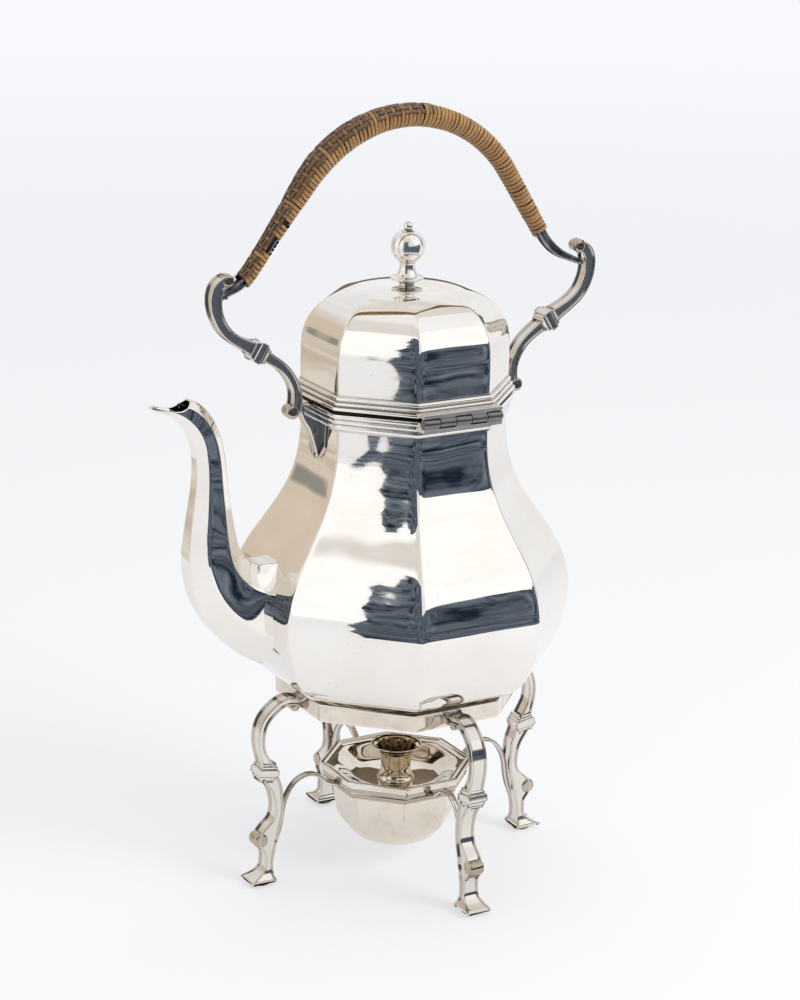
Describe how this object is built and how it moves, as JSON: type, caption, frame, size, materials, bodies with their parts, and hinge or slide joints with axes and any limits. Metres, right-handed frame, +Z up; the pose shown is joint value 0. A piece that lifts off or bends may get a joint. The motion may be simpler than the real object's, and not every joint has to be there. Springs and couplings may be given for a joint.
{
  "type": "spirit kettle on stand",
  "caption": "Eight-sided polished kettle with side-hinged domed lid, swan-neck spout and cane-bound bail handle, on a legged stand holding a lift-out spirit lamp.",
  "frame": {"origin": "on the kettle's upright axis at table level, under the middle of the four feet", "axes": "+Z up; spout towards -X; lid hinge on the -Y side; handle stands in the XZ plane"},
  "size_m": [0.2366, 0.1652, 0.3768],
  "materials": {
    "silver": "polished silver, lightly tarnished in the recesses",
    "cane": "split cane, worn satin",
    "wick": "twisted cotton"
  },
  "bodies": {
    "stand": {"stand_ring": "silver", "lamp_ring": "silver", "leg_rear": "silver", "leg_far_side": "silver", "leg_spout_side": "silver", "leg_hinge_side": "silver", "lamp_bracket_rear": "silver", "lamp_bracket_far_side": "silver", "lamp_bracket_spout_side": "silver", "lamp_bracket_hinge_side": "silver"},
    "kettle": {"kettle_body": "silver", "kettle_base": "silver", "neck_collar": "silver", "spout": "silver", "hinge_leaf_body": "silver", "hinge_pin": "silver", "neck_mount_rear": "silver", "neck_mount_spout_side": "silver", "handle_arm_rear": "silver", "handle_arm_spout_side": "silver", "handle_bar": "silver", "handle_cane": "cane", "bar_rivets": "silver"},
    "lid": {"lid_dome": "silver", "lid_rim": "silver", "lid_flange": "silver", "hinge_leaf_lid": "silver", "finial": "silver", "finial_rod": "silver", "finial_nut": "silver"},
    "lamp": {"lamp_bowl": "silver", "lamp_cover": "silver"},
    "burner": {"wick_holder": "silver", "wick": "wick"}
  },
  "joints": [
    {"name": "kettle_lift", "type": "slide", "parent": "stand", "child": "kettle", "axis": [0, 0, 1], "range_m": [0, 0.1]},
    {"name": "lid_hinge", "type": "hinge", "parent": "kettle", "child": "lid", "pos_m": [0, -0.05353, 0.2386], "axis": [1, 0, 0], "range_deg": [0, 100]},
    {"name": "lamp_lift", "type": "slide", "parent": "stand", "child": "lamp", "axis": [0, 0, 1], "range_m": [0, 0.018]},
    {"name": "burner_lift", "type": "slide", "parent": "lamp", "child": "burner", "axis": [0, 0, 1], "range_m": [0, 0.012]}
  ]
}
